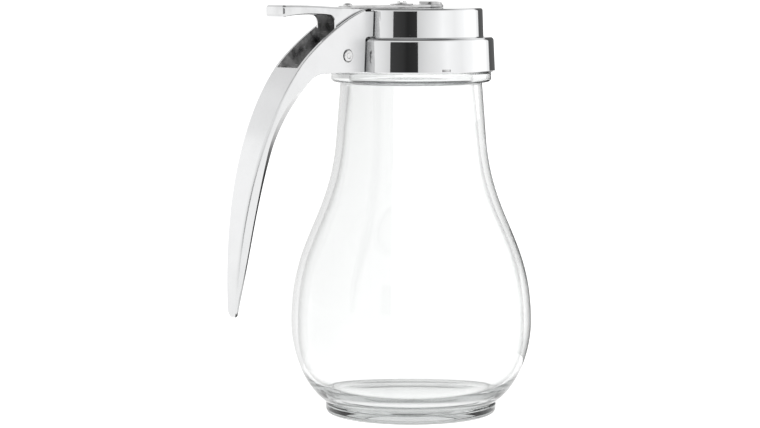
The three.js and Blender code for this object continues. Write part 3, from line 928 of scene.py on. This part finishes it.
def make_guide_screw(finish, tree):
    """The fixed screw that the shutter slides along: a flange over the plate and a slotted head."""
    under = SHUTTER_PLATE_TOP + PLATE_GAP
    flange_top = under + FLANGE_H
    profile = eased(
        [
            (at(0, SCREW_LOW.z), 0),
            (at(SCREW_R, SCREW_LOW.z), FASTENER_SOFT),
            (at(SCREW_R, under), FASTENER_ROOT),
            (at(FLANGE_R, under), FLANGE_ROUND),
            (at(FLANGE_R - FLANGE_LEAN, flange_top), FASTENER_SOFT),
            (at(SCREW_HEAD_R, flange_top), FASTENER_EDGE),
            (at(SCREW_HEAD_R, SCREW_HIGH.z), FASTENER_ROUND),
            (at(0, SCREW_HIGH.z), 0),
        ],
        closed=False,
    )
    screw = moved(turned("guide_screw_head", profile, SMALL_SIDES, finish, tree), x=SCREW_X)
    wide = SCREW_HEAD_R * SLOT_SHARE
    reach = SCREW_HEAD_R * 2
    across = math.radians(SLOT_TURN)
    along_x = Vector((math.cos(across), math.sin(across), 0))
    along_y = Vector((-along_x.y, along_x.x, 0))
    outline = [plan(SCREW_X, 0) + (along_x * a * reach + along_y * b * wide) * MM for a, b in CORNERS]
    slot = drawn_up("slot", outline, SCREW_HIGH.z - SCREW_HEAD_H / 2, SCREW_HIGH.z + TOOL_REACH)
    slot.data.materials.append(finish)
    return polished(cut(screw, slot))


def make_rivet(finish, tree):
    """The rivet that holds the shutter down on the lever."""
    seat = SHUTTER_PLATE_TOP + PLATE_GAP
    head = at(RIVET_HEAD_R, seat)
    crown = at(0, RIVET_HIGH.z)
    side_pull = head + at(0, RIVET_HEAD_H * DOME_PULL)
    dome = curve(head, side_pull, crown + at(RIVET_HEAD_R * DOME_PULL, 0), crown, DOME_STEPS)
    shank = [at(0, RIVET_LOW.z), at(RIVET_R, RIVET_LOW.z), at(RIVET_R, seat)]
    rivet = turned("lever_rivet_head", [*shank, head, *dome], SMALL_SIDES, finish, tree)
    return polished(moved(rivet, x=RIVET_X))


# The slide: thumb lever and shutter

LEVER_HALF = LEVER_HIGH.y
LEVER_END_X = LEVER_LOW.x
LEVER_FRONT_X = LEVER_HIGH.x
LEVER_BACK_X = -43.5
LEVER_SEAT_X = -35.4
LEVER_TOP_Z = LEVER_HIGH.z
LEVER_FOOT_Z = LEVER_LOW.z
LEVER_NECK_Z = 151
LEVER_SEAT_Z = 150.4
LEVER_PULL = 8
LEVER_STEPS = 16
# The least step behind the seat, and the share of the room that the end's rounding takes
LEAST_STEP = 0.05
END_SHARE = 0.95
LEVER_WALL = 0.7
LEVER_ROOF = 2.1
LEVER_BACK_ROOF = 1.5
HOLLOW_ROUND = 1
LEVER_ROUND = 1
LEVER_EDGE = 1.2
THUMB_END_H = 4.1
THUMB_MID_H = 3.2
THUMB_ROOT_H = 5
SHUTTER_PLATE_LOW = SHUTTER_LOW.z
PLATE_H = 1
SHUTTER_PLATE_TOP = SHUTTER_PLATE_LOW + PLATE_H
SHUTTER_HALF = 3.4
SHUTTER_TAIL_X = SHUTTER_LOW.x
TAIL_ROUND = 1.5
# A slot's ends are all but half round
SLOT_ROUND = 0.999
PAD_R = SHUTTER_HIGH.y
PAD_X = SHUTTER_HIGH.x - PAD_R
PAD_HEAD_R = 4.2
PAD_FLAT = 1
PAD_SLOPE = 2
PAD_SINK = 0.5
PAD_STEPS = 8
PLATE_EDGE = 0.2
PLATE_EDGE_STEPS = 2
PAD_EDGE = 0.6


def lever_side(inset):
    """The lever from the side: a thumb rest that rises a little to its end, over a body between the cheeks.

    Near the lever's sides the rest's outline is inset, which rounds its edges."""
    end_x = LEVER_END_X + inset
    top = LEVER_TOP_Z - inset
    seat = at(LEVER_SEAT_X, max(LEVER_NECK_Z - inset, LEVER_SEAT_Z + LEAST_STEP))
    crest = at(end_x + LEVER_ROUND, top)
    lift = inset / 2
    end_low = LEVER_TOP_Z - THUMB_END_H + lift
    mid_low = LEVER_TOP_Z - THUMB_MID_H + lift
    root_low = LEVER_TOP_Z - THUMB_ROOT_H + lift
    round_end = min(LEVER_ROUND, (top - end_low) / 2) * END_SHARE
    end = eased(
        [
            (crest, 0),
            (at(end_x, top), round_end),
            (at(end_x, end_low), round_end),
            (at(end_x + LEVER_ROUND, end_low), 0),
        ],
        closed=False,
    )
    root = at(LEVER_BACK_X - 2 * LEVER_ROUND, root_low + LEVER_ROUND)
    drop = at(LEVER_BACK_X, root_low - 2 * LEVER_ROUND)
    knee = at(LEVER_BACK_X, root_low)
    crest_pull = at(LEVER_BACK_X - LEVER_PULL, top)
    end_pull = at(LEVER_END_X + LEVER_PULL, mid_low)
    root_pull = at(LEVER_BACK_X - LEVER_PULL, mid_low)
    return [
        at(LEVER_FRONT_X, LEVER_FOOT_Z),
        at(LEVER_FRONT_X, LEVER_SEAT_Z),
        at(LEVER_SEAT_X, LEVER_SEAT_Z),
        seat,
        *curve(seat, seat - at(LEVER_PULL, 0), crest_pull, crest, LEVER_STEPS)[:-1],
        *end,
        *curve(end[-1], end_pull, root_pull, root, LEVER_STEPS),
        *curve(root, root.lerp(knee, CORNER_PULL), drop.lerp(knee, CORNER_PULL), drop, ROUND_STEPS),
        at(LEVER_BACK_X, LEVER_FOOT_Z),
    ]


def lever_sections():
    """The lever's side view at each step across it, from one side to the other."""
    half = []
    for step in range(ROUND_STEPS + 1):
        angle = math.pi / 2 * step / ROUND_STEPS
        y = LEVER_HALF - LEVER_EDGE + LEVER_EDGE * math.sin(angle)
        inset = LEVER_EDGE * (1 - math.cos(angle))
        half.append((y, lever_side(inset)))
    whole = [(-y, side) for y, side in reversed(half)] + half
    return [[point + Vector((0, y * MM, 0)) for point in side] for y, side in whole]


def make_lever(finish, inside, tree):
    """The thumb lever, with the hollow of its body and the rivet's hole."""
    lever = lofted("thumb_rest", lever_sections())
    lever.data.materials.append(finish)
    back = hollow_ring(LEVER_BACK_X - LEVER_HALF, LEVER_SEAT_Z - LEVER_BACK_ROOF)
    front = hollow_ring(LEVER_FRONT_X - LEVER_WALL, LEVER_SEAT_Z - LEVER_ROOF)
    hollow = lofted("hollow", [back, front])
    # The hollow's faces take the cast finish with painted shade
    hollow.data.materials.append(inside)
    return polished(cut(lever, hollow, rivet_way(finish, tree)))


def hollow_ring(x, roof):
    """A section of the lever's hollow, open below, with its roof at a height."""
    half = LEVER_HALF - LEVER_WALL
    low = LEVER_FOOT_Z - LEVER_WALL
    corners = [(-half, low, 0), (half, low, 0), (half, roof, HOLLOW_ROUND), (-half, roof, HOLLOW_ROUND)]
    return eased([(Vector((x, y, z)) * MM, radius) for y, z, radius in corners])


def rivet_way(finish, tree):
    """A tool for the hole that the lever's rivet passes through."""
    hole = bar_profile(RIVET_R + SEAM, LEVER_SEAT_Z - RIVET_WAY_HALF, LEVER_SEAT_Z + RIVET_WAY_HALF)
    return moved(turned("rivet way", hole, SMALL_SIDES, finish, tree), x=RIVET_X)


def plate_outline():
    """A plan of the shutter: a strip with round tail corners and a round pad over the pour hole."""
    start = math.pi - math.asin(SHUTTER_HALF / PAD_R)
    steps = 2 * CURVE_STEPS
    turns = [start * (2 * i / steps - 1) for i in range(steps + 1)]
    pad = [plan(PAD_X + PAD_R * math.cos(a), PAD_R * math.sin(a)) for a in turns]
    tail = eased(
        [
            (pad[-1], 0),
            (plan(SHUTTER_TAIL_X, SHUTTER_HALF), TAIL_ROUND),
            (plan(SHUTTER_TAIL_X, -SHUTTER_HALF), TAIL_ROUND),
            (pad[0], 0),
        ],
        closed=False,
    )
    return pad[1:-1] + tail


def make_shutter(finish, tree):
    """The shutter: a plate with a slot for the guide screw, and the head that closes the pour hole."""
    plate = drawn_up("shutter_plate", plate_outline(), SHUTTER_PLATE_LOW, SHUTTER_PLATE_TOP)
    plate.data.materials.append(finish)
    rounded(plate, PLATE_EDGE, PLATE_EDGE_STEPS)
    slot_r = SCREW_R + SEAM
    slot = drawn_up(
        "slot",
        slot_outline(SCREW_X + TRAVEL / 2, TRAVEL / 2 + slot_r, slot_r, slot_r * SLOT_ROUND),
        SHUTTER_PLATE_LOW - TOOL_REACH,
        SHUTTER_PLATE_TOP + TOOL_REACH,
    )
    slot.data.materials.append(finish)
    cut(plate, slot, rivet_way(finish, tree))
    return polished(joined(plate, "UNION", pad_head(finish, tree)))


def pad_head(finish, tree):
    """The head on the pad: round in plan, steep behind, flat on top and falling away to the front."""
    low = SHUTTER_PLATE_LOW + PAD_SINK
    high = SHUTTER_HIGH.z
    back = PAD_X - PAD_HEAD_R
    front = PAD_X + PAD_HEAD_R
    flat_end = at(PAD_X - PAD_FLAT, high)
    nose = at(front, SHUTTER_PLATE_TOP)
    brow = at(PAD_X + PAD_SLOPE, high)
    side = [
        at(back, low),
        at(front, low),
        nose,
        *curve(nose, nose.lerp(brow, CORNER_PULL), flat_end.lerp(brow, CORNER_PULL), flat_end, PAD_STEPS),
        at(back + PAD_FLAT, high),
        at(back, SHUTTER_PLATE_TOP),
    ]
    wedge = drawn_across("wedge", side, PAD_R)
    bar = bar_profile(PAD_HEAD_R, low - TOOL_REACH, high + TOOL_REACH)
    post = moved(turned("pad head", bar, SMALL_SIDES, finish, tree), x=PAD_X)
    return rounded(joined(post, "INTERSECT", wedge), PAD_EDGE, ROUND_STEPS)


# The studio

PHOTO_BEARING = -45
CAMERA_REACH = 0.972
CAMERA_Z = 0.166
AIM_Z = 0.074
CAMERA_SIDE = -0.0115
LENS = 124.5


def toward(bearing, reach, z=0):
    """A point at a bearing round the dispenser, in metres, where 0 is the -Y side and 90 the +X side."""
    angle = math.radians(bearing)
    return Vector((math.sin(angle) * reach, -math.cos(angle) * reach, z))


def make_camera():
    """A camera at the photograph's bearing and height."""
    data = bpy.data.cameras.new("camera")
    data.lens = LENS
    camera = bpy.data.objects.new("camera", data)
    bpy.context.scene.collection.objects.link(camera)
    shift = toward(PHOTO_BEARING + 90, CAMERA_SIDE)
    camera.location = toward(PHOTO_BEARING, CAMERA_REACH, CAMERA_Z) + shift
    aim = shift + Vector((0, 0, AIM_Z))
    camera.rotation_euler = (aim - camera.location).to_track_quat("-Z", "Y").to_euler()
    bpy.context.scene.camera = camera


SKY = 1.15
# Light runs round inside the thick foot many times before it leaves
GLASS_BOUNCES = 32
FLOOR_TONE = (0.9, 0.9, 0.9, 1)
FLOOR_GLOW = 0.3
FLOOR_HALF = 5.0
FLOOR_GAP = 0.0002
# Degrees between the folds of a standing screen, and the sides of a round one
FOLD = 4
DISC_SIDES = 64
# The standing screens: bearings from the camera's own, in degrees, each with a brightness
ROOM = [
    (-180, 1.0), (-165, 1.2), (-140, 1.44), (-90, 1.44), (-55, 1.24), (-41, 1.11), (-28, 0.92),
    (8, 0.88), (24, 1.08), (37, 1.22), (50, 1.42), (72, 1.27), (90, 1.44), (98, 1.6), (122, 1.6),
    (128, 1.25), (133.5, 1.2), (135, 0.12), (172, 0.16), (174, 1.0), (180, 1.0),
]
ROOM_REACH = 1.1
ROOM_FROM_Z = -0.02
ROOM_TO_Z = 0.65
CAMERA_CARD = [(-28.8, 0.07), (-12, 0.05), (-6, 0.03), (8.6, 0.045)]
CAMERA_CARD_REACH = 0.9
CAMERA_CARD_FROM_Z = 0.08
CAMERA_CARD_TO_Z = 0.35
EDGE_CARD = [(100, 0.7), (118, 0.25), (150, 0.2), (158, 0.2)]
EDGE_CARD_REACH = 0.1
EDGE_CARD_TO_Z = 0.11
# The veil stands slantwise behind the jar: bearing, reach, and the brightness at its foot and head
VEIL = [
    (-171.8, 0.0505, 1.1, 1.0),
    (-155.7, 0.0549, 1.1, 0.88),
    (-140.9, 0.0644, 1.05, 0.72),
    (-132.7, 0.0737, 1.05, 0.62),
    (-121.6, 0.0954, 1.05, 0.6),
    (-108.0, 0.1614, 1.05, 0.7),
]
VEIL_TO_Z = 0.13
# The lying screens: radii from the middle out, each with a brightness
CEILING = [(0, 0.4), (0.12, 0.35), (0.28, 0.1), (0.42, 0.14), (0.75, 0.9), (1.0, 1.1)]
CEILING_Z = 0.9
FOOT_SHADE = [(0, 1.1), (0.0265, 1.05), (0.029, 0.8), (0.0318, 0.5)]


def make_floor():
    """A plain white floor that glows a little, as a light table does."""
    vertices = [Vector((a * FLOOR_HALF, b * FLOOR_HALF, -FLOOR_GAP)) for a, b in CORNERS]
    floor = new_piece("floor", vertices, [(0, 1, 2, 3)])
    finish, _, shader = new_finish("white floor")
    shader.inputs["Base Color"].default_value = FLOOR_TONE
    shader.inputs["Roughness"].default_value = 1.0
    shader.inputs["Specular IOR Level"].default_value = 0.0
    shader.inputs["Emission Color"].default_value = (1, 1, 1, 1)
    shader.inputs["Emission Strength"].default_value = FLOOR_GLOW
    floor.data.materials.append(finish)


def make_sky():
    """Even white light from all sides."""
    world = bpy.data.worlds.new("white studio")
    bpy.context.scene.world = world
    world.use_nodes = True
    light = world.node_tree.nodes["Background"]
    light.inputs["Color"].default_value = (1, 1, 1, 1)
    light.inputs["Strength"].default_value = SKY


def make_glow(name, vertices, faces, glows, in_chrome, in_glass):
    """A soft screen with a brightness at each point, which only the chrome or only the glass shows."""
    screen = new_piece(name, vertices, faces)
    screen.data.attributes.new("glow", "FLOAT", "POINT").data.foreach_set("value", glows)
    finish, tree, shader = new_finish(name)
    shader.inputs["Base Color"].default_value = (0, 0, 0, 1)
    shader.inputs["Specular IOR Level"].default_value = 0.0
    shader.inputs["Emission Strength"].default_value = 1.0
    glow = add_node(tree, "ShaderNodeAttribute", attribute_name="glow")
    tree.links.new(glow.outputs["Fac"], shader.inputs["Emission Color"])
    finish.cycles.emission_sampling = "NONE"
    screen.data.materials.append(finish)
    screen.visible_camera = False
    screen.visible_diffuse = False
    screen.visible_shadow = False
    screen.visible_volume_scatter = False
    screen.visible_glossy = in_chrome
    screen.visible_transmission = in_glass


def make_screen(name, stops, low, high, in_chrome=False, in_glass=False):
    """A standing screen, folded through stops: each a bearing from the camera's own, a reach, and the
    brightness at its foot and at its head."""
    columns = [stops[0]]
    for before, after in zip(stops, stops[1:]):
        steps = max(1, round(abs(after[0] - before[0]) / FOLD))
        for step in range(1, steps + 1):
            columns.append([a + (b - a) * step / steps for a, b in zip(before, after)])
    vertices = []
    glows = []
    for bearing, reach, foot, head in columns:
        for z, glow in ((low, foot), (high, head)):
            vertices.append(toward(PHOTO_BEARING + bearing, reach, z))
            glows.append(glow)
    faces = [(2 * i, 2 * i + 2, 2 * i + 3, 2 * i + 1) for i in range(len(columns) - 1)]
    make_glow(name, vertices, faces, glows, in_chrome, in_glass)


def make_disc(name, rings, z, in_chrome=False, in_glass=False):
    """A lying screen, round, with the brightness at each of its rings from the middle out."""
    vertices = [Vector((0, 0, z))]
    glows = [rings[0][1]]
    faces = []
    for radius, glow in rings[1:]:
        first = len(vertices)
        for side in range(DISC_SIDES):
            vertices.append(toward(360 * side / DISC_SIDES, radius, z))
            glows.append(glow)
            after = (side + 1) % DISC_SIDES
            if first == 1:
                faces.append((0, 1 + side, 1 + after))
            else:
                back = first - DISC_SIDES
                faces.append((back + side, first + side, first + after, back + after))
    make_glow(name, vertices, faces, glows, in_chrome, in_glass)


def even(stops, reach):
    """The stops of a screen that stands at one reach and is as bright at its foot as at its head."""
    return [(bearing, reach, glow, glow) for bearing, glow in stops]


def make_studio():
    """The floor, the sky, the screens that the chrome and the glass show, and the light's bounces."""
    make_floor()
    make_sky()
    ground = -FLOOR_GAP / 2
    camera_card = even(CAMERA_CARD, CAMERA_CARD_REACH)
    edge_card = even(EDGE_CARD, EDGE_CARD_REACH)
    make_screen("room", even(ROOM, ROOM_REACH), ROOM_FROM_Z, ROOM_TO_Z, in_chrome=True)
    make_screen("card by the camera", camera_card, CAMERA_CARD_FROM_Z, CAMERA_CARD_TO_Z, in_chrome=True)
    make_disc("dark ceiling", CEILING, CEILING_Z, in_chrome=True)
    make_screen("veil behind the glass", VEIL, 0.0, VEIL_TO_Z, in_glass=True)
    make_screen("card at the glass edge", edge_card, ground, EDGE_CARD_TO_Z, in_chrome=True)
    make_disc("shade under the foot", FOOT_SHADE, ground, in_glass=True)
    scene = bpy.context.scene
    scene.view_settings.view_transform = "Standard"
    scene.cycles.max_bounces = GLASS_BOUNCES
    scene.cycles.transmission_bounces = GLASS_BOUNCES
    scene.cycles.glossy_bounces = GLASS_BOUNCES


# Everything in place


def place(piece, body, node, slot):
    """Puts a finished piece on its body, in place of its CAD node."""
    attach(piece, body)
    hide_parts(node)


def main():
    """Makes the studio, the finishes and every piece."""
    make_camera()
    make_studio()
    marks = marks_group()
    tree = turned_tree()
    glass = clear_glass("clear pressed glass", marks, OUTSIDE_PAINTED_EDGE_SHADE)
    lining = clear_glass("clear glass inside", marks, INSIDE_PAINTED_EDGE_SHADE)
    chrome = metal("bright chrome", marks, (0.665, 0.67, 0.675), (0.645, 0.65, 0.655), (0.02, 0.06))
    cast = metal(
        "satin chrome", marks, (0.64, 0.643, 0.647), (0.62, 0.623, 0.627), (0.17, 0.24), mirror=0.7
    )
    soft = metal(
        "soft chrome", marks, (0.6, 0.603, 0.607), (0.53, 0.533, 0.537), (0.05, 0.12), cloud_scale=220.0
    )
    # Cast inner faces: less mirror-like than the plating, with painted shade and painted reflections in
    # clouds from near white to near black
    inside = metal(
        "cast with painted shade", marks, grey(0.75), grey(0.03), (0.15, 0.3), cloud_scale=150.0, mirror=0.6
    )
    # Painted shade and painted dark reflections for the grip's inner edges, its tip and the cheeks' top gaps
    dull_and_painted_shade = painted_grip_shade("painted shade edge", marks, PAINTED_SHADE_TONES)
    plate = metal("brushed plate", marks, grey(0.5), grey(0.42), (0.28, 0.4), PRESSED, 300.0)
    steel = metal("turned fastener", marks, grey(0.6), grey(0.5), (0.08, 0.2), TURNED, 300.0)
    jar = make_jar(glass, lining, tree)
    # The jar throws no shadow and no light on other surfaces
    jar.visible_shadow = False
    jar.visible_diffuse = False
    place(jar, "dispenser", "jar", "glass")
    place(make_cap(chrome, inside, tree), "dispenser", "cap", "chrome")
    place(make_handle(cast, inside, dull_and_painted_shade, tree), "dispenser", "handle", "chrome")
    place(make_cross_pin(steel, tree), "dispenser", "cross_pin", "fastener")
    place(make_guide_screw(steel, tree), "dispenser", "guide_screw", "fastener")
    place(make_lever(soft, inside, tree), "slide", "thumb_lever", "chrome")
    place(make_shutter(plate, tree), "slide", "shutter", "chrome")
    place(make_rivet(steel, tree), "slide", "lever_rivet", "fastener")


main()
